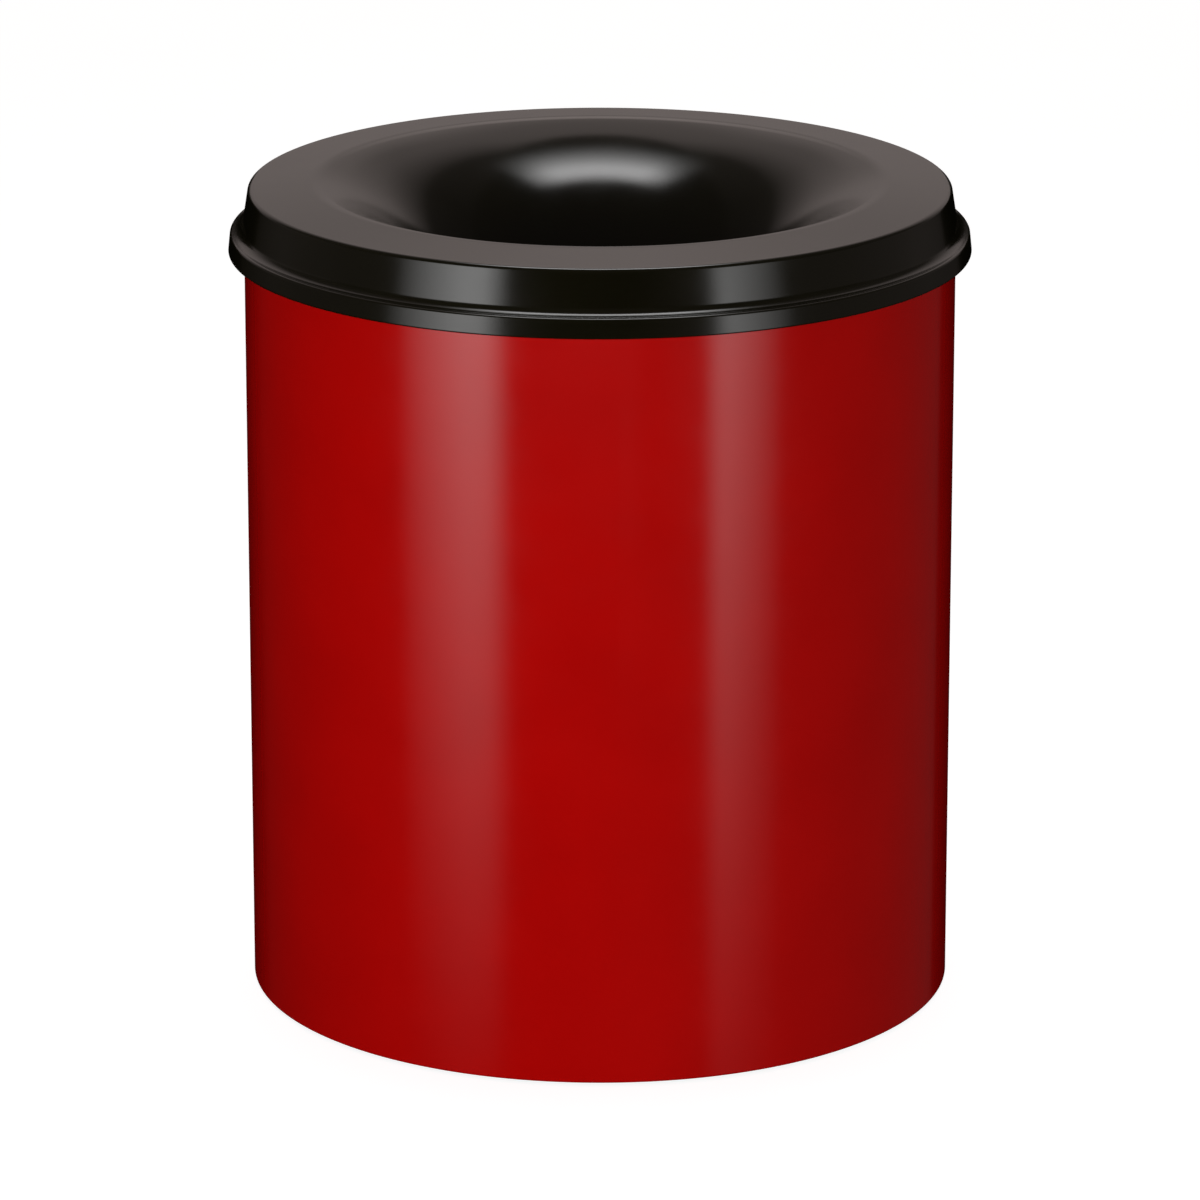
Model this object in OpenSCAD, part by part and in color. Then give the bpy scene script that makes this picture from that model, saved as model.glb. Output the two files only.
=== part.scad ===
// Self-extinguishing waste bin: a round sheet-steel bin with a loose, spun extinguishing head.
// The head's bell-mouthed throat lets waste in and turns the smoke of a fire back onto it.
// Millimetres. Origin on the floor at the bin's centre line, +Z up, front towards -Y.

/* [Bin body] */
// Outside diameter of the sheet-steel wall
body_d = 465; // [440:1:490]
// Thickness of the wall and base sheet
body_sheet = 0.8; // [0.7:0.1:0.9]
// Height of the rolled top edge's highest point
rim_height = 510.4; // [440:0.1:560]
// Outside diameter of the rolled top edge's round section
bead_d = 7.5; // [7:0.1:7.6]
// Gap between the floor and the wall's folded lower edge
floor_gap = 2; // [1:0.5:4]
// Width of the overlap where the wall sheet meets itself at the back
seam_w = 9; // [6:1:16]

/* [Base] */
// Height of the base sheet's flat ring, measured to the middle of the sheet
base_height = 15; // [13:0.5:20]
// Radius of the raised middle of the base
base_raised_r = 120; // [90:1:135]
// Height by which the middle of the base is raised
base_raise = 3; // [2:0.5:5]

/* [Feet] */
// Radius of the circle on which the feet stand
foot_circle_r = 190; // [170:1:198]
// Diameter of a foot where it meets the base
foot_top_d = 32; // [28:1:36]
// Diameter of a foot on the floor
foot_floor_d = 28; // [24:1:28]
// Diameter of the rivet through each foot
rivet_d = 4; // [3.2:0.1:4.8]

/* [Head] */
// Rise of the head's outer top edge above the bin's rolled edge
head_rise = 29.6; // [27:0.1:33]
// Thickness of the head's sheet
head_sheet = 1; // [0.9:0.1:1.1]
// Radius of the crest between the head's top ring and its bell mouth
crest_r = 186; // [182:0.5:187]
// Height by which the top ring rises from its outer edge to the crest
crest_rise = 4; // [3:0.1:6]
// Slope at which the bell mouth falls from the crest, in degrees
mouth_angle = 18; // [15:1:18]
// Clear diameter of the throat
throat_d = 215; // [213:0.5:220]
// Depth of the throat's lower edge below the head's outer top edge
throat_depth = 108.5; // [108:0.5:118]

/* [Hidden] */
$fn = 96;
foot_count = 4;

paint_red = "firebrick";
paint_black = "#1c1b1a";
rubber_black = "#262626";
steel_grey = "silver";

body_r = body_d / 2;
wall_mid_r = body_r - body_sheet / 2;
wall_in_r = body_r - body_sheet;
bead_r = bead_d / 2;
bead_mid_r = bead_r - body_sheet / 2;
bead_centre = [wall_in_r + bead_r, rim_height - bead_r];
wire_slack = 0.1;
fold_slack = 0.1;

// The wall's lower edge is folded inwards and up, round the base's flange.
flange_mid_r = wall_in_r - fold_slack - body_sheet / 2;
fold_lip_r = flange_mid_r - body_sheet - fold_slack;
fold_height = 8;
fold_bottom = floor_gap + body_sheet / 2;
flange_bottom = floor_gap + 2.6;
flange_bend = 3;

base_ramp_w = 6;
base_ramp_bend = 4;
rivet_slack = 0.1;
rivet_head_r = 4.5;
rivet_head_h = 1.6;
rivet_tail_r = 3.4;
washer_r = 5.5;
washer_h = 0.8;
foot_recess_r = 6.5;
foot_recess_h = 7;
washer_z = foot_recess_h - washer_h;
foot_edge = 1;

// Head, all at the middle of its sheet. The drafts are angles from the vertical.
head_top = rim_height + head_rise;
shoulder_z = rim_height + 0.1;
neck_r = body_r + 1.34;
neck_bend = 6.5;
neck_draft = 9;
shoulder_r = neck_r + 7.4;
shoulder_bend = 1.2;
brim_drop = 12;
brim_draft = 6;
brim_edge_r = shoulder_r + brim_drop * tan(brim_draft);
brim_z = shoulder_z - brim_drop;
hem_w = 1.15;
hem_h = 4.5;
hem_bend = 0.55;
top_z = head_top - head_sheet / 2;
top_r = neck_r - (top_z - shoulder_z) * tan(neck_draft);
top_bend = 2.5;

// From its outer edge the top ring rises to a crest, and turns down there into the bell mouth.
crest_z = top_z + crest_rise;
crest_bend = 20;
throat_mid_r = throat_d / 2 + head_sheet / 2;
bell_corner_z = crest_z - (crest_r - throat_mid_r) * tan(mouth_angle);
// The bell's bend takes up the whole slope between the crest and the throat, but for a short straight.
bell_straight = 0.5;
crest_turn = mouth_angle + atan(crest_rise / (top_r - crest_r));
bell_slope = (crest_r - throat_mid_r) / cos(mouth_angle) - crest_bend * tan(crest_turn / 2);
bell_bend = (bell_slope - bell_straight) / tan(45 - mouth_angle / 2);
throat_z = head_top - throat_depth + head_sheet / 2;
curl_w = 5.8;
curl_bend = curl_w / 2;

// ---- Bent sheet ----
// A sheet's section is a line of corners [r, z, bend radius] at the middle of the sheet.

function unit(v) = v / norm(v);

// Points of one bend, each [r, z, normal r, normal z], with the normal on the line's left.
function bend(a, corner, b, step) =
    let (
        p = [corner[0], corner[1]],
        u = unit([a[0], a[1]] - p),
        v = unit([b[0], b[1]] - p),
        radius = corner[2],
        half = acos(max(-1, min(1, u * v))) / 2,
        centre = p + unit(u + v) * radius / sin(half),
        turn = 180 - 2 * half,
        left = (-u[0] * v[1] + u[1] * v[0]) > 0,
        first = p + u * radius / tan(half) - centre,
        count = max(1, ceil(turn / step))
    )
    [for (i = [0 : count])
        let (
            t = (left ? 1 : -1) * turn * i / count,
            arm = [first[0] * cos(t) - first[1] * sin(t), first[0] * sin(t) + first[1] * cos(t)],
            out = unit(arm) * (left ? -1 : 1)
        )
        [centre[0] + arm[0], centre[1] + arm[1], out[0], out[1]]];

// An end of the line, with the normal of the stretch that meets it.
function line_end(p, from, to) =
    let (d = unit([to[0] - from[0], to[1] - from[1]]))
    [p[0], p[1], -d[1], d[0]];

function section_line(corners, step) =
    let (last = len(corners) - 1)
    concat(
        [line_end(corners[0], corners[0], corners[1])],
        [for (i = [1 : last - 1]) each bend(corners[i - 1], corners[i], corners[i + 1], step)],
        [line_end(corners[last], corners[last - 1], corners[last])]
    );

// The closed outline of a sheet of thickness t along a line of corners.
function sheet_outline(corners, t, step = 9) =
    let (line = section_line(corners, step), last = len(line) - 1)
    concat(
        [for (p = line) [p[0] + p[2] * t / 2, p[1] + p[3] * t / 2]],
        [for (i = [last : -1 : 0]) [line[i][0] - line[i][2] * t / 2, line[i][1] - line[i][3] * t / 2]]
    );

module spun_sheet(corners, t, step = 9) {
    rotate_extrude() polygon(sheet_outline(corners, t, step));
}

module at_feet() {
    for (i = [0 : foot_count - 1])
        rotate(i * 360 / foot_count - 45) translate([foot_circle_r, 0, 0]) children();
}

// ---- Bin body ----

// The wall: its folded lower edge, the plain cylinder and the bead rolled outwards round the wire.
module bin_wall() {
    bead_top = bead_centre[1] + bead_mid_r;
    bead_low = bead_centre[1] - bead_mid_r;
    bead_out = bead_centre[0] + bead_mid_r;
    fold_bend = (wall_mid_r - fold_lip_r) / 2;
    color(paint_red) {
        spun_sheet([
            [fold_lip_r, fold_bottom + fold_height],
            [fold_lip_r, fold_bottom, fold_bend],
            [wall_mid_r, fold_bottom, fold_bend],
            [wall_mid_r, bead_top, bead_mid_r],
            [bead_out, bead_top, bead_mid_r],
            [bead_out, bead_low, bead_mid_r],
            [bead_centre[0] - 1, bead_low],
        ], body_sheet, 15);
        wall_overlap();
    }
}

// The wall sheet laps over itself at the back, down the whole plain height.
module wall_overlap() {
    turn = seam_w / body_r * 180 / PI;
    low = fold_bottom + fold_height;
    high = bead_centre[1] - bead_r - 2;
    rotate(90 - turn / 2) rotate_extrude(angle = turn)
        translate([body_r - body_sheet / 2, low]) square([body_sheet * 1.5, high - low]);
}

// Steel wire that stiffens the rolled edge from inside.
module rim_wire() {
    color(steel_grey) rotate_extrude()
        translate(bead_centre) circle(r = bead_r - body_sheet - wire_slack);
}

// Pressed base: raised middle, flat ring for the feet, and a flange held in the wall's fold.
module base_pan() {
    color(paint_red) difference() {
        spun_sheet([
            [0, base_height + base_raise],
            [base_raised_r, base_height + base_raise, base_ramp_bend],
            [base_raised_r + base_ramp_w, base_height, base_ramp_bend],
            [flange_mid_r, base_height, flange_bend],
            [flange_mid_r, flange_bottom],
        ], body_sheet, 15);
        at_feet() translate([0, 0, base_height - body_sheet])
            cylinder(r = rivet_d / 2 + rivet_slack, h = 2 * body_sheet);
    }
}

// ---- Feet ----

// One rubber foot: tapered, with a chamfered floor edge, a rivet hole and a recess for its head.
module foot(i) {
    height = base_height - body_sheet / 2;
    color(rubber_black) rotate(i * 360 / foot_count - 45) translate([foot_circle_r, 0, 0])
        difference() {
            rotate_extrude() polygon([
                [0, 0],
                [foot_floor_d / 2 - foot_edge, 0],
                [foot_floor_d / 2, foot_edge],
                [foot_top_d / 2, height],
                [0, height],
            ]);
            translate([0, 0, -1]) cylinder(r = foot_recess_r, h = foot_recess_h + 1);
            cylinder(r = rivet_d / 2 + rivet_slack, h = height + 1);
        }
}

// Washers against the tops of the feet's recesses.
module foot_washers() {
    color(steel_grey) at_feet() translate([0, 0, washer_z]) difference() {
        cylinder(r = washer_r, h = washer_h);
        translate([0, 0, -1]) cylinder(r = rivet_d / 2 + rivet_slack, h = washer_h + 2);
    }
}

// Rivets: a flat head under each washer, and a tail closed over the base.
module foot_rivets() {
    tail_z = base_height + body_sheet / 2;
    color(steel_grey) at_feet() {
        translate([0, 0, washer_z - rivet_head_h]) cylinder(r = rivet_head_r, h = rivet_head_h);
        translate([0, 0, washer_z - rivet_head_h])
            cylinder(r = rivet_d / 2, h = tail_z - washer_z + 2 * rivet_head_h);
        translate([0, 0, tail_z]) cylinder(r1 = rivet_tail_r, r2 = rivet_tail_r * 0.7, h = rivet_head_h);
    }
}

// ---- Head ----

// One spun sheet: hemmed brim, shoulder that rests on the bin's bead, drafted neck, gently rising
// top ring, crest, bell mouth, and a throat that ends in a curl.
module extinguisher_head() {
    color(paint_black) spun_sheet([
        [brim_edge_r - hem_w - hem_h * tan(brim_draft), brim_z + hem_h],
        [brim_edge_r - hem_w, brim_z, hem_bend],
        [brim_edge_r, brim_z, hem_bend],
        [shoulder_r, shoulder_z, shoulder_bend],
        [neck_r, shoulder_z, neck_bend],
        [top_r, top_z, top_bend],
        [crest_r, crest_z, crest_bend],
        [throat_mid_r, bell_corner_z, bell_bend],
        [throat_mid_r, throat_z, curl_bend],
        [throat_mid_r + curl_w, throat_z, curl_bend],
        [throat_mid_r + curl_w, throat_z + curl_w, curl_bend],
        [throat_mid_r + curl_bend, throat_z + curl_w],
    ], head_sheet, 5);
}

bin_wall();
rim_wire();
base_pan();
foot(0);  // foot_front_right
foot(1);  // foot_back_right
foot(2);  // foot_back_left
foot(3);  // foot_front_left
foot_washers();
foot_rivets();
extinguisher_head();
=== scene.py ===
"""Looks of a self-extinguishing waste bin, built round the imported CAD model.

Everything is in metres and in the CAD frame: +Z up, the bin's centre line on Z, its front towards -Y.
"""
import math

import bpy
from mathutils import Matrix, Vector

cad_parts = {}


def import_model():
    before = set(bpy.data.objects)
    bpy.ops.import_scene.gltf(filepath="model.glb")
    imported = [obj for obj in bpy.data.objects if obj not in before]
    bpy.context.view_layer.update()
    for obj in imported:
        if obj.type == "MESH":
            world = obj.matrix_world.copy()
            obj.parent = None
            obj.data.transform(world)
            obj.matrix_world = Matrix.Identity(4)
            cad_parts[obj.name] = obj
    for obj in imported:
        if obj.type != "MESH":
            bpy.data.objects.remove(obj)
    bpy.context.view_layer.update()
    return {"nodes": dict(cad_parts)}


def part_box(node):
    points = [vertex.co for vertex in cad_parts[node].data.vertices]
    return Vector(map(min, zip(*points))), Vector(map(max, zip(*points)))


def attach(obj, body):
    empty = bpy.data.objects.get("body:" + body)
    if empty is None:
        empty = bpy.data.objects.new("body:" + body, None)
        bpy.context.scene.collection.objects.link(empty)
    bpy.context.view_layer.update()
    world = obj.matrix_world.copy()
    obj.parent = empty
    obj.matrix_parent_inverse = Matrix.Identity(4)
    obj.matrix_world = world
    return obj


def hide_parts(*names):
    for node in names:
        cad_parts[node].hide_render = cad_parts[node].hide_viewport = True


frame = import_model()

MM = 0.001
TURN_STEPS = 240
ON_AXIS = 1e-7

# ---- Sizes, from the frame ----

BODY_SHEET = 0.8 * MM
HEAD_SHEET = 1.0 * MM
SLACK = 0.1 * MM

wall_low, wall_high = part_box("bin_wall")
base_low, base_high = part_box("base_pan")
head_low, head_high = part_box("extinguisher_head")
foot_low, foot_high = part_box("foot_back_right")
rivets_low, rivets_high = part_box("foot_rivets")

wall_in_r = base_high.x + SLACK
wall_r = wall_in_r + BODY_SHEET
bead_r = (wall_high.x - wall_in_r) / 2
bead_centre = (wall_in_r + bead_r, wall_high.z - bead_r)
foot_centre_r = math.hypot(foot_low.x + foot_high.x, foot_low.y + foot_high.y) / 2
FEET = {"front_right": -45, "back_right": 45, "back_left": 135, "front_left": 225}


# ---- Bent sheet ----
# A sheet's section is a line of corners (r, z, bend radius) at the middle of the sheet.

def bend(before, corner, after, step):
    """Points of one bend, each with the normal on the line's left."""
    p = Vector(corner[:2])
    u = (Vector(before[:2]) - p).normalized()
    v = (Vector(after[:2]) - p).normalized()
    half = math.acos(max(-1.0, min(1.0, u.dot(v)))) / 2
    centre = p + (u + v).normalized() * corner[2] / math.sin(half)
    side = 1 if -u.x * v.y + u.y * v.x > 0 else -1
    first = p + u * corner[2] / math.tan(half) - centre
    turn = math.pi - 2 * half
    count = max(1, math.ceil(turn / step))
    points = []
    for i in range(count + 1):
        t = side * turn * i / count
        arm = Vector((
            first.x * math.cos(t) - first.y * math.sin(t),
            first.x * math.sin(t) + first.y * math.cos(t),
        ))
        points.append((centre + arm, -side * arm.normalized()))
    return points


def straight(start, end, normal, longest, guard):
    """Points inside a straight stretch: one close to each end, so that shading stays flat between them."""
    length = (end - start).length
    if length < 3 * guard:
        return []
    inner = length - 2 * guard
    count = max(1, math.ceil(inner / longest))
    along = (end - start) / length
    return [(start + along * (guard + inner * i / count), normal) for i in range(count + 1)]


def section_line(corners, step, longest, guard):
    """The section's points and normals, bends and straight stretches alike."""
    bends = [bend(*corners[i - 1:i + 2], step) for i in range(1, len(corners) - 1)]
    ends = [[(Vector(c[:2]), None)] for c in (corners[0], corners[-1])]
    runs = [ends[0], *bends, ends[1]]
    line = []
    for run, following in zip(runs, runs[1:]):
        d = (following[0][0] - run[-1][0]).normalized()
        normal = Vector((-d.y, d.x))
        line += [(p, n or normal) for p, n in run]
        line += straight(run[-1][0], following[0][0], normal, longest, guard)
    return line + [(ends[1][0][0], normal)]


def sheet_outline(corners, thickness, step=math.radians(6), longest=12 * MM, guard=0.3 * MM):
    """The closed outline of a sheet that follows a line of corners."""
    line = section_line(corners, step, longest, guard)
    left = [p + n * thickness / 2 for p, n in line]
    right = [p - n * thickness / 2 for p, n in reversed(line)]
    return left + right


# ---- Meshes ----

def new_object(name, vertices, faces, sharp=math.radians(40)):
    """A smooth-shaded object whose edges are sharp where its faces turn by more than that angle."""
    mesh = bpy.data.meshes.new(name)
    mesh.from_pydata([tuple(v) for v in vertices], [], faces)
    mesh.validate()
    mesh.polygons.foreach_set("use_smooth", [True] * len(mesh.polygons))
    mesh.set_sharp_from_angle(angle=sharp)
    mesh.update()
    obj = bpy.data.objects.new(name, mesh)
    bpy.context.scene.collection.objects.link(obj)
    return obj


def lathe_mesh(outline, steps=TURN_STEPS, centre=(0, 0)):
    """Vertices and faces of a closed outline of (r, z) points turned about Z.
    A point on the axis becomes one vertex."""
    vertices, rings = [], []
    for r, z in outline:
        if r < ON_AXIS:
            rings.append([len(vertices)] * steps)
            vertices.append((centre[0], centre[1], z))
            continue
        rings.append(list(range(len(vertices), len(vertices) + steps)))
        for i in range(steps):
            a = 2 * math.pi * i / steps
            vertices.append((centre[0] + r * math.cos(a), centre[1] + r * math.sin(a), z))
    faces = []
    for ring, following in zip(rings, rings[1:] + rings[:1]):
        for i in range(steps):
            j = (i + 1) % steps
            face = list(dict.fromkeys((ring[i], ring[j], following[j], following[i])))
            if len(face) > 2:
                faces.append(face)
    return vertices, faces


def joined(*parts):
    """Several (vertices, faces) pairs as one."""
    vertices, faces = [], []
    for part_vertices, part_faces in parts:
        start = len(vertices)
        vertices += part_vertices
        faces += [[start + i for i in face] for face in part_faces]
    return vertices, faces


def finish_piece(obj, body, material, slot, *nodes):
    """Gives a piece its material, hangs it under its body's empty, and hides the CAD nodes it stands for."""
    obj.data.materials.append(material)
    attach(obj, body)
    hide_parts(*nodes)


# ---- Shader helpers ----

def new_material(name):
    """A material, its node tree, its shader and the object's own coordinates."""
    material = bpy.data.materials.new(name)
    material.use_nodes = True
    tree = material.node_tree
    shader = tree.nodes["Principled BSDF"]
    coordinates = tree.nodes.new("ShaderNodeTexCoord")
    return material, tree, shader, coordinates.outputs["Object"]


def noise(tree, coordinates, wavelength, detail=2.0, roughness=0.5):
    """A noise whose blobs are about one wavelength apart, in metres."""
    node = tree.nodes.new("ShaderNodeTexNoise")
    node.inputs["Scale"].default_value = 1 / wavelength
    node.inputs["Detail"].default_value = detail
    node.inputs["Roughness"].default_value = roughness
    tree.links.new(coordinates, node.inputs["Vector"])
    return node.outputs["Fac"]


def spread(tree, value, low, high, from_low=0.3, from_high=0.7):
    """A value mapped from one range onto another and held inside it. A noise mostly lies from 0.3 to 0.7."""
    node = tree.nodes.new("ShaderNodeMapRange")
    node.inputs["From Min"].default_value = from_low
    node.inputs["From Max"].default_value = from_high
    node.inputs["To Min"].default_value = low
    node.inputs["To Max"].default_value = high
    tree.links.new(value, node.inputs["Value"])
    return node.outputs["Result"]


def tint(tree, value, dark, light):
    """A noise mapped onto two colours."""
    ramp = tree.nodes.new("ShaderNodeValToRGB")
    ramp.color_ramp.elements[0].position = 0.3
    ramp.color_ramp.elements[0].color = (*dark, 1)
    ramp.color_ramp.elements[1].position = 0.7
    ramp.color_ramp.elements[1].color = (*light, 1)
    tree.links.new(value, ramp.inputs["Fac"])
    return ramp.outputs["Color"]


def bump(tree, height, depth, strength=1.0, below=None):
    """A bump of that depth in metres, laid over another one."""
    node = tree.nodes.new("ShaderNodeBump")
    node.inputs["Distance"].default_value = depth
    node.inputs["Strength"].default_value = strength
    tree.links.new(height, node.inputs["Height"])
    if below is not None:
        tree.links.new(below, node.inputs["Normal"])
    return node.outputs["Normal"]


def calculate(tree, operation, *values):
    """The result of a maths node for one or two values."""
    node = tree.nodes.new("ShaderNodeMath")
    node.operation = operation
    for value, socket in zip(values, node.inputs):
        tree.links.new(value, socket)
    return node.outputs["Value"]


def product(tree, first, *others):
    """All the values multiplied together."""
    for other in others:
        first = calculate(tree, "MULTIPLY", first, other)
    return first


def total(tree, first, *others):
    """All the values added together."""
    for other in others:
        first = calculate(tree, "ADD", first, other)
    return first


def mix(tree, factor, a, b):
    """A where the factor is 0 and b where it is 1."""
    node = tree.nodes.new("ShaderNodeMix")
    tree.links.new(factor, node.inputs["Factor"])
    tree.links.new(a, node.inputs["A"])
    tree.links.new(b, node.inputs["B"])
    return node.outputs["Result"]


def constant(tree, number):
    """A plain number, for a sum, a product or a mix."""
    node = tree.nodes.new("ShaderNodeValue")
    node.outputs["Value"].default_value = number
    return node.outputs["Value"]


# ---- Materials ----

def powder_coat(name, dark, light, roughness, peel_depth, specular):
    """Sprayed and baked powder: an even colour, a fine orange peel and a slow swell under it."""
    material, tree, shader, coordinates = new_material(name)
    link = tree.links.new
    link(tint(tree, noise(tree, coordinates, 60 * MM, 3), dark, light), shader.inputs["Base Color"])
    link(spread(tree, noise(tree, coordinates, 25 * MM, 4), *roughness), shader.inputs["Roughness"])
    swell = bump(tree, noise(tree, coordinates, 9 * MM, 1), peel_depth * 1.5)
    peel = bump(tree, noise(tree, coordinates, 1.3 * MM, 2), peel_depth, below=swell)
    link(peel, shader.inputs["Normal"])
    shader.inputs["Specular IOR Level"].default_value = specular
    return material


def zinc_plate():
    """Zinc-plated steel: a fine spangle of light and dull grey."""
    material, tree, shader, coordinates = new_material("zinc_plate")
    link = tree.links.new
    spangle = tint(tree, noise(tree, coordinates, 2 * MM, 3), (0.42, 0.43, 0.45), (0.62, 0.63, 0.64))
    link(spangle, shader.inputs["Base Color"])
    link(spread(tree, noise(tree, coordinates, 0.8 * MM, 2), 0.28, 0.45), shader.inputs["Roughness"])
    link(bump(tree, noise(tree, coordinates, 0.5 * MM, 2), 0.01 * MM), shader.inputs["Normal"])
    shader.inputs["Metallic"].default_value = 1.0
    return material


def moulded_rubber():
    """Black rubber with a dull, slightly grainy skin."""
    material, tree, shader, coordinates = new_material("moulded_rubber")
    link = tree.links.new
    skin = tint(tree, noise(tree, coordinates, 6 * MM, 4), (0.012, 0.012, 0.012), (0.03, 0.029, 0.028))
    link(skin, shader.inputs["Base Color"])
    link(spread(tree, noise(tree, coordinates, 3 * MM, 3), 0.6, 0.8), shader.inputs["Roughness"])
    link(bump(tree, noise(tree, coordinates, 0.4 * MM, 2), 0.03 * MM), shader.inputs["Normal"])
    return material


# ---- Pieces ----

def wall_outline():
    """The wall's section: folded lower edge, plain cylinder, and the bead rolled outwards round the wire."""
    mid_r = wall_r - BODY_SHEET / 2
    fold_lip_r = base_high.x - 1.5 * BODY_SHEET - SLACK
    fold_bend = (mid_r - fold_lip_r) / 2
    fold_z = wall_low.z + BODY_SHEET / 2
    bead_mid = bead_r - BODY_SHEET / 2
    lip_h, bead_tail = 8 * MM, 1 * MM
    r, z = bead_centre
    return sheet_outline([
        (fold_lip_r, fold_z + lip_h),
        (fold_lip_r, fold_z, fold_bend),
        (mid_r, fold_z, fold_bend),
        (mid_r, z + bead_mid, bead_mid),
        (r + bead_mid, z + bead_mid, bead_mid),
        (r + bead_mid, z - bead_mid, bead_mid),
        (r - bead_tail, z - bead_mid),
    ], BODY_SHEET, step=math.radians(12))


def overlap_strip():
    """The lapped seam at the back, with a row of spot welds pressed into it.
    Its edges and its back lie in the wall."""
    width, low_gap, high_gap = 9 * MM, 10 * MM, 2 * MM
    low, high = wall_low.z + low_gap, bead_centre[1] - bead_r - high_gap
    weld_pitch, weld_r, weld_depth = 38 * MM, 2.4 * MM, 0.35 * MM
    edge_bend, sunk = 0.5 * MM, 0.4 * MM
    across, up = 20, 660
    row = across + 3
    vertices = []
    for k in range(up + 1):
        z = low + (high - low) * k / up
        from_weld = (z - low) % weld_pitch - weld_pitch / 2
        for i in range(-1, across + 2):
            s = max(-1.0, min(1.0, 2 * i / across - 1))
            inset = max(0.0, 1 - (1 - abs(s)) * width / 2 / edge_bend)
            away = math.hypot(s * width / 2, from_weld) / weld_r
            proud = BODY_SHEET * math.sqrt(1 - inset ** 2) - weld_depth * max(0.0, 1 - away ** 2) ** 2
            if i in (-1, across + 1):
                proud = -sunk
            a = math.pi / 2 + s * width / 2 / wall_r
            vertices.append(((wall_r + proud) * math.cos(a), (wall_r + proud) * math.sin(a), z))
    faces = [[k * row + i, k * row + (i + 1) % row, (k + 1) * row + (i + 1) % row, (k + 1) * row + i]
             for k in range(up) for i in range(row)]
    faces.append(list(range(row - 1, -1, -1)))
    faces.append([up * row + i for i in range(row)])
    return vertices, faces


def bin_wall(material):
    """The rolled wall sheet with its lapped seam."""
    obj = new_object("bin_wall_sheet", *joined(lathe_mesh(wall_outline()), overlap_strip()))
    finish_piece(obj, "bin", material, "red_paint", "bin_wall")


def base_pan(material):
    """The pressed base: its middle is raised, and its flange turns down inside the wall's fold."""
    raised_r, ramp_w, ramp_bend, flange_bend = 120 * MM, 6 * MM, 4 * MM, 3 * MM
    raised_z = base_high.z - BODY_SHEET / 2
    ring_z = foot_high.z + BODY_SHEET / 2
    flange_r = base_high.x - BODY_SHEET / 2
    outline = sheet_outline([
        (0, raised_z),
        (raised_r, raised_z, ramp_bend),
        (raised_r + ramp_w, ring_z, ramp_bend),
        (flange_r, ring_z, flange_bend),
        (flange_r, base_low.z),
    ], BODY_SHEET)
    obj = new_object("base_sheet", *lathe_mesh(outline))
    finish_piece(obj, "bin", material, "red_paint", "base_pan")


def foot(place, angle, material):
    """A tapered rubber foot with soft edges and a recess for its rivet."""
    top_r = (foot_high.x - foot_low.x) / 2
    floor_r, recess_r, recess_h, height = 14 * MM, 6.5 * MM, 7 * MM, foot_high.z
    recess_bend, mouth_bend, floor_bend, top_bend = 0.4 * MM, 0.6 * MM, 1.2 * MM, 0.5 * MM
    longest, guard = 6 * MM, 0.2 * MM
    corners = [
        (recess_r, recess_h, recess_bend),
        (recess_r, 0, mouth_bend),
        (floor_r, 0, floor_bend),
        (top_r, height, top_bend),
        (0, height),
    ]
    line = section_line([(0, recess_h), *corners], math.radians(15), longest, guard)
    a = math.radians(angle)
    centre = (foot_centre_r * math.cos(a), foot_centre_r * math.sin(a))
    obj = new_object(f"foot_{place}_rubber", *lathe_mesh([p for p, _ in line], 64, centre))
    finish_piece(obj, "bin", material, "foot_rubber", f"foot_{place}")


def quarter_turn(count=8):
    """Angles from 0 to a quarter turn."""
    return [math.pi / 2 * i / count for i in range(count + 1)]


def foot_rivets(material):
    """Rivets with a domed head in each foot's recess and a closed tail over the base."""
    shank_r, head_r, tail_r, rise = 2 * MM, 4.5 * MM, 3.4 * MM, 1.6 * MM
    low, high = rivets_low.z, rivets_high.z
    head = [(head_r * math.sin(t), low + rise * (1 - math.cos(t))) for t in quarter_turn()]
    tail = [(tail_r * math.cos(t), high - rise + rise * math.sin(t)) for t in quarter_turn()]
    outline = [*head, (shank_r, low + rise), (shank_r, high - rise), *tail]
    parts = []
    for angle in FEET.values():
        a = math.radians(angle)
        parts.append(lathe_mesh(outline, 32, (foot_centre_r * math.cos(a), foot_centre_r * math.sin(a))))
    obj = new_object("domed_rivets", *joined(*parts))
    finish_piece(obj, "bin", material, "steel", "foot_rivets")


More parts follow.
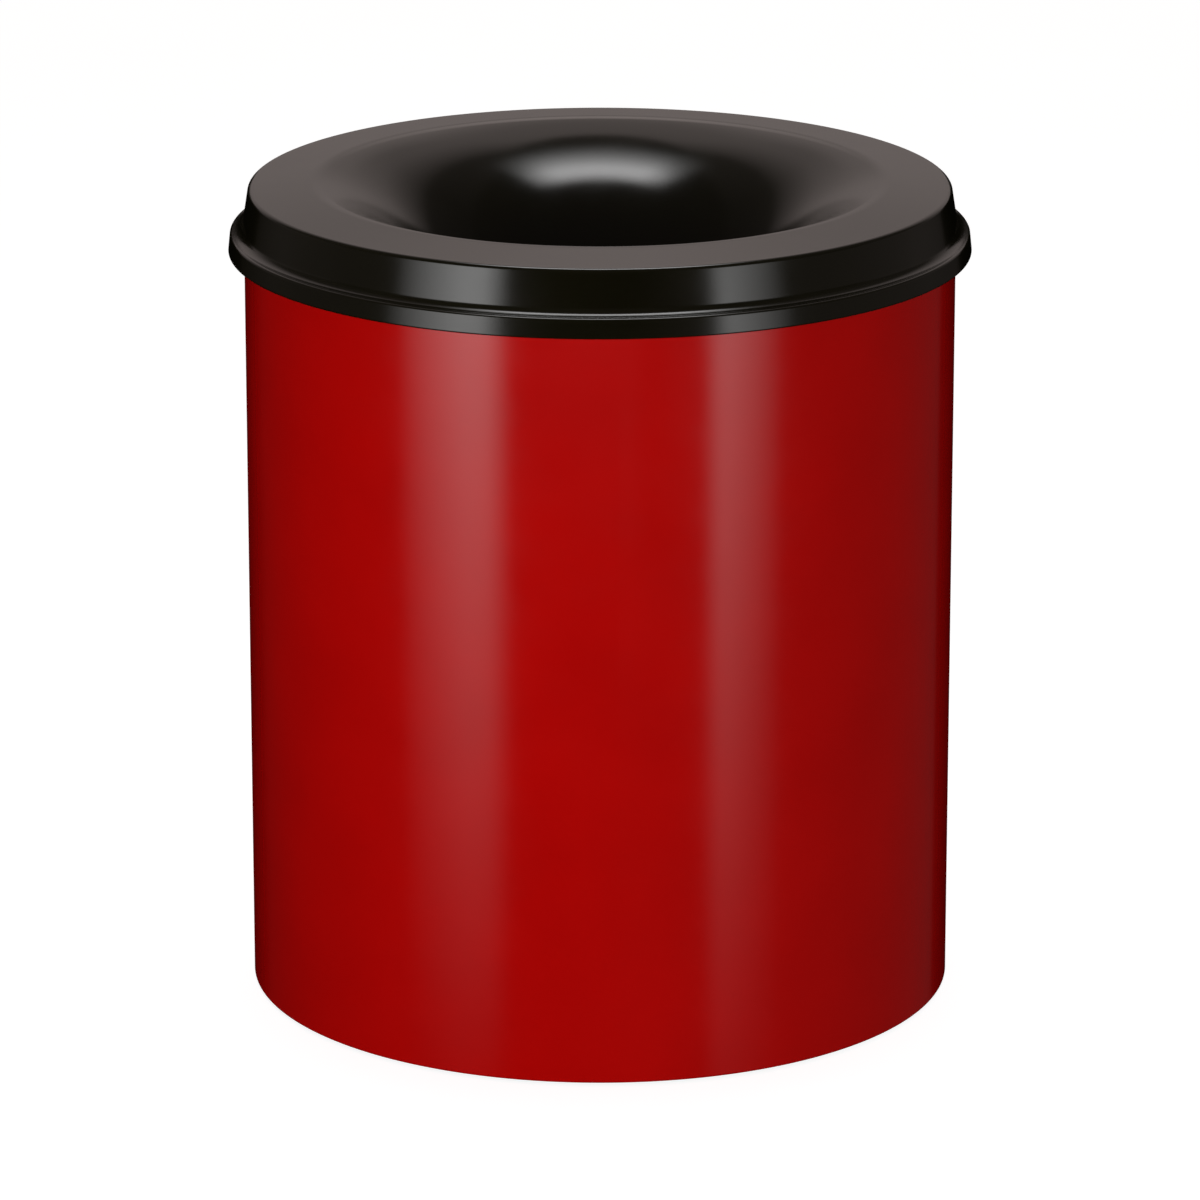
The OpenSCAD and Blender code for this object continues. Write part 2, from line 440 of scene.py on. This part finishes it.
def head_outline():
    """The head's section: hemmed brim, shoulder, neck, rising top ring, crest, bell mouth and curl."""
    half = HEAD_SHEET / 2
    brim_slope, neck_slope = math.tan(math.radians(6)), math.tan(math.radians(9))
    hem_w, hem_h, hem_bend = 1.15 * MM, 4.5 * MM, 0.55 * MM
    brim_drop, shoulder_w, head_rise = 12 * MM, 7.4 * MM, 29.6 * MM
    shoulder_bend, neck_bend, top_bend = 1.2 * MM, 6.5 * MM, 2.5 * MM
    shoulder_z = wall_high.z + SLACK
    brim_r, brim_z = head_high.x - half, shoulder_z - brim_drop
    shoulder_r = brim_r - brim_drop * brim_slope
    neck_r = shoulder_r - shoulder_w
    top_z = wall_high.z + head_rise - half
    top_r = neck_r - (top_z - shoulder_z) * neck_slope
    crest_r, crest_rise, crest_bend = 186 * MM, 3.99 * MM, 20 * MM
    crest_z = top_z + crest_rise
    mouth_angle, throat_r = math.radians(18), 108 * MM
    bell_z = crest_z - (crest_r - throat_r) * math.tan(mouth_angle)
    crest_turn = mouth_angle + math.atan2(crest_rise, top_r - crest_r)
    slope = (crest_r - throat_r) / math.cos(mouth_angle) - crest_bend * math.tan(crest_turn / 2)
    least_straight = 0.5 * MM
    bell_bend = (slope - least_straight) / math.tan(math.radians(45) - mouth_angle / 2)
    curl_w, curl_z = 5.8 * MM, head_low.z + half
    return sheet_outline([
        (brim_r - hem_w - hem_h * brim_slope, brim_z + hem_h),
        (brim_r - hem_w, brim_z, hem_bend),
        (brim_r, brim_z, hem_bend),
        (shoulder_r, shoulder_z, shoulder_bend),
        (neck_r, shoulder_z, neck_bend),
        (top_r, top_z, top_bend),
        (crest_r, crest_z, crest_bend),
        (throat_r, bell_z, bell_bend),
        (throat_r, curl_z, curl_w / 2),
        (throat_r + curl_w, curl_z, curl_w / 2),
        (throat_r + curl_w, curl_z + curl_w, curl_w / 2),
        (throat_r + curl_w / 2, curl_z + curl_w),
    ], HEAD_SHEET, step=math.radians(5))


def extinguisher_head(material):
    """The one-piece spun head."""
    obj = new_object("spun_head", *lathe_mesh(head_outline()))
    finish_piece(obj, "head", material, "black_paint", "extinguisher_head")


# ---- Studio ----

def camera():
    """Stands where the photo's perspective puts the photographer, and looks down at the bin."""
    distance, height, tilt = 4.454, 1.588, 16.64
    data = bpy.data.cameras.new("camera")
    data.sensor_width, data.lens = 36, 210
    obj = bpy.data.objects.new("camera", data)
    obj.location = (0, -distance, height)
    obj.rotation_euler = (math.radians(90 - tilt), 0, 0)
    bpy.context.scene.collection.objects.link(obj)
    bpy.context.scene.camera = obj


def softbox(name, azimuth, distance, height, width, tall, radiance, target_z=None,
            glossy=True, fade=None, on_floor=True):
    """An area light that faces the bin's centre line. Azimuth 0 is towards -Y and 90 towards +X."""
    data = bpy.data.lights.new(name, "AREA")
    data.shape, data.size, data.size_y = "RECTANGLE", width, tall
    data.energy = radiance * math.pi * width * tall
    if fade:
        fade_light(data, *fade)
    obj = bpy.data.objects.new(name, data)
    a = math.radians(azimuth)
    obj.location = (distance * math.sin(a), -distance * math.cos(a), height)
    target = Vector((0, 0, height if target_z is None else target_z))
    obj.rotation_euler = (obj.location - target).to_track_quat("Z", "Y").to_euler()
    obj.visible_camera = False
    obj.visible_glossy = glossy
    if not on_floor:
        obj.light_linking.receiver_collection = bpy.data.collections["not_lit"]
    bpy.context.scene.collection.objects.link(obj)


def fade_light(data, right, left, bottom, top):
    """Lets a softbox fade towards its edges: each value is the share of the cloth over which it fades.
    Right and left are the bin's, looking at the cloth. The bottom fades as a square, like a cloth lit
    from above."""
    data.use_nodes = True
    tree = data.node_tree
    emission = tree.nodes["Emission"]
    place = tree.nodes.new("ShaderNodeTexCoord")
    axes = tree.nodes.new("ShaderNodeSeparateXYZ")
    tree.links.new(place.outputs["UV"], axes.inputs["Vector"])
    sides = [
        ("X", 0.0, right),
        ("X", 1.0, 1.0 - left),
        ("Y", 0.0, bottom),
        ("Y", 0.0, bottom),
        ("Y", 1.0, 1.0 - top),
    ]
    levels = [spread(tree, axes.outputs[axis], 0.0, 1.0, start, end) for axis, start, end in sides]
    tree.links.new(product(tree, *levels), emission.inputs["Strength"])


def floor():
    """A pale floor, lit from within like a light table, out past every view. The paint mirrors the dark
    studio and not the floor, and only the softbox over the bin lights it."""
    material, tree, shader, coordinates = new_material("pale_floor")
    pale = tint(tree, noise(tree, coordinates, 0.4, 2), (0.38, 0.38, 0.38), (0.40, 0.40, 0.40))
    tree.links.new(pale, shader.inputs["Base Color"])
    shader.inputs["Emission Color"].default_value = (1, 1, 1, 1)
    shader.inputs["Emission Strength"].default_value = 0.92
    shader.inputs["Roughness"].default_value = 0.9
    shader.inputs["Specular IOR Level"].default_value = 0.1
    half = 60
    corners = [(-half, -half, 0), (half, -half, 0), (half, half, 0), (-half, half, 0)]
    obj = new_object("floor", corners, [[0, 1, 2, 3]])
    obj.data.materials.append(material)
    obj.visible_glossy = False
    obj.visible_diffuse = False
    obj.visible_shadow = False
    unlit = bpy.data.collections.new("not_lit")
    unlit.objects.link(obj)
    unlit.collection_objects[0].light_linking.link_state = "EXCLUDE"


def world():
    """A warm, lit backdrop behind the bin, brightest towards its top, with a lamp's glow in the middle of
    it, and a dim room in front. The camera itself sees near white."""
    sky = bpy.data.worlds.new("studio")
    bpy.context.scene.world = sky
    sky.use_nodes = True
    tree = sky.node_tree
    tree.nodes.clear()
    link = tree.links.new
    direction = tree.nodes.new("ShaderNodeTexCoord")
    axes = tree.nodes.new("ShaderNodeSeparateXYZ")
    link(direction.outputs["Generated"], axes.inputs["Vector"])
    x, y, z = axes.outputs["X"], axes.outputs["Y"], axes.outputs["Z"]

    # The backdrop grows brighter upwards to its top edge. Heights are sines of the angle over the horizon.
    lowest, top_edge = -0.3, 0.92
    bands = [(lowest, 0.0), (0.0, 0.22), (0.22, 0.38), (0.6, 0.45), (top_edge, 0.87), (top_edge + 0.02, 0.12)]
    height = tree.nodes.new("ShaderNodeValToRGB")
    link(spread(tree, z, 0.0, 1.0, lowest, 1.0), height.inputs["Fac"])
    steps = height.color_ramp.elements
    while len(steps) < len(bands):
        steps.new(0.5)
    for step, (sine, level) in zip(steps, bands):
        step.position = (sine - lowest) / (1 - lowest)
        step.color = (level, level, level, 1)

    # It is wide over the horizon and narrow under it.
    aside = calculate(tree, "ABSOLUTE", x)
    sideways = calculate(tree, "DIVIDE", aside, y)
    wide = spread(tree, sideways, 1.0, 0.15, 0.5, 1.25)
    narrow = spread(tree, sideways, 1.0, 0.0, 0.22, 0.4)
    width = mix(tree, spread(tree, z, 0.0, 1.0, -0.05, 0.08), narrow, wide)
    behind = spread(tree, y, 0.0, 1.0, 0.0, 0.1)
    backdrop = product(tree, height.outputs["Color"], width, behind)

    # The lamp's glow grows up to its middle and dies away over it and to both sides.
    glow_below = spread(tree, z, 0.0, 0.9, 0.36, 0.62)
    glow_above = spread(tree, z, 1.0, 0.0, 0.64, 0.8)
    glow_aside = spread(tree, aside, 1.0, 0.0, 0.02, 0.26)
    glow = product(tree, glow_below, glow_above, glow_aside, behind)

    # The room in front is dim: a little light up high. Some also comes from below, mostly from +X.
    in_front = spread(tree, y, 1.0, 0.0, 0.0, 0.1)
    room = product(tree, spread(tree, z, 0.0, 0.05, 0.15, 0.3), in_front)
    at_right = spread(tree, x, 0.2, 1.0, -0.3, 0.75)
    low = product(tree, spread(tree, z, 0.035, 0.0, 0.0, 0.1), at_right)

    # A faint band stands along the horizon at both sides.
    band_below = spread(tree, z, 0.0, 0.07, -0.2, -0.12)
    band_above = spread(tree, z, 1.0, 0.0, 0.1, 0.25)
    band_aside = spread(tree, aside, 0.0, 1.0, 0.2, 0.5)
    not_behind = spread(tree, y, 1.0, 0.0, 0.5, 0.85)
    horizon = product(tree, band_below, band_above, band_aside, not_behind)
    level = total(tree, backdrop, glow, room, low, horizon)

    seen_level = 0.97
    seen = tree.nodes.new("ShaderNodeLightPath").outputs["Is Camera Ray"]
    level_seen = mix(tree, seen, level, constant(tree, seen_level))
    colour = tree.nodes.new("ShaderNodeMix")
    colour.data_type = "RGBA"
    link(seen, colour.inputs["Factor"])
    colour.inputs["A"].default_value = (1.1, 0.94, 0.9, 1)
    colour.inputs["B"].default_value = (1, 1, 1, 1)
    background = tree.nodes.new("ShaderNodeBackground")
    output = tree.nodes.new("ShaderNodeOutputWorld")
    link(level_seen, background.inputs["Strength"])
    link(colour.outputs["Result"], background.inputs["Color"])
    link(background.outputs["Background"], output.inputs["Surface"])


def black_cards():
    """Black cards close behind the bin's edges, which the paint mirrors and nothing else sees."""
    material, tree, shader, coordinates = new_material("black_card")
    black = tint(tree, noise(tree, coordinates, 0.2, 2), (0.001, 0.001, 0.001), (0.0015, 0.0015, 0.0015))
    tree.links.new(black, shader.inputs["Base Color"])
    shader.inputs["Roughness"].default_value = 0.9
    shader.inputs["Specular IOR Level"].default_value = 0.0
    near, far, y, bottom, top = 0.245, 0.42, 0.2, -0.3, 0.575
    for side, sign in (("left", -1), ("right", 1)):
        inner, outer = sign * near, sign * far
        corners = [(inner, y, bottom), (outer, y, bottom), (outer, y, top), (inner, y, top)]
        obj = new_object(f"{side}_black_card", corners, [[0, 1, 2, 3]])
        obj.data.materials.append(material)
        obj.visible_camera = False
        obj.visible_diffuse = False
        obj.visible_shadow = False


def lights():
    """Two tall softboxes in front, a large one over the bin, and weak fills that the paint doesn't mirror."""
    softbox("left_box", azimuth=-43.6, distance=1.16, height=0.175, width=0.74, tall=1.25,
            radiance=4.2, fade=(0.62, 0.2, 0.76, 0.08), on_floor=False)
    softbox("right_box", azimuth=43.2, distance=1.35, height=0.1, width=0.60, tall=1.4,
            radiance=2.8, fade=(0.2, 0.75, 0.7, 0.08), on_floor=False)
    softbox("top_box", azimuth=180, distance=0.02, height=1.9, width=1.34, tall=0.96,
            radiance=8.0, target_z=-20, fade=(0.23, 0.23, 0.625, 0.235))
    for number, azimuth in enumerate((-46, -4, 40)):
        softbox(f"front_fill_{number}", azimuth, distance=3.0, height=0.5, width=2.0, tall=1.3,
                radiance=2.65, target_z=0.3, glossy=False, on_floor=False)
    softbox("back_fill", azimuth=180, distance=3.0, height=1.2, width=3.0, tall=1.6,
            radiance=1.9, target_z=0.3, glossy=False, on_floor=False)


# ---- The scene ----

camera()
world()
floor()
black_cards()
lights()
bpy.context.scene.view_settings.view_transform = "Standard"

paint_skin = {"roughness": (0.14, 0.17), "peel_depth": 0.008 * MM, "specular": 0.5}
red = powder_coat("red_powder_coat", (0.40, 0.0012, 0.0008), (0.43, 0.0015, 0.001), **paint_skin)
black = powder_coat("black_powder_coat", (0.0036, 0.0031, 0.001), (0.0044, 0.0039, 0.0013), **paint_skin)
zinc = zinc_plate()
rubber = moulded_rubber()

bin_wall(red)
base_pan(red)
extinguisher_head(black)
for place, angle in FEET.items():
    foot(place, angle, rubber)
foot_rivets(zinc)
for node in ("rim_wire", "foot_washers"):
    frame["nodes"][node].data.materials.clear()
    frame["nodes"][node].data.materials.append(zinc)
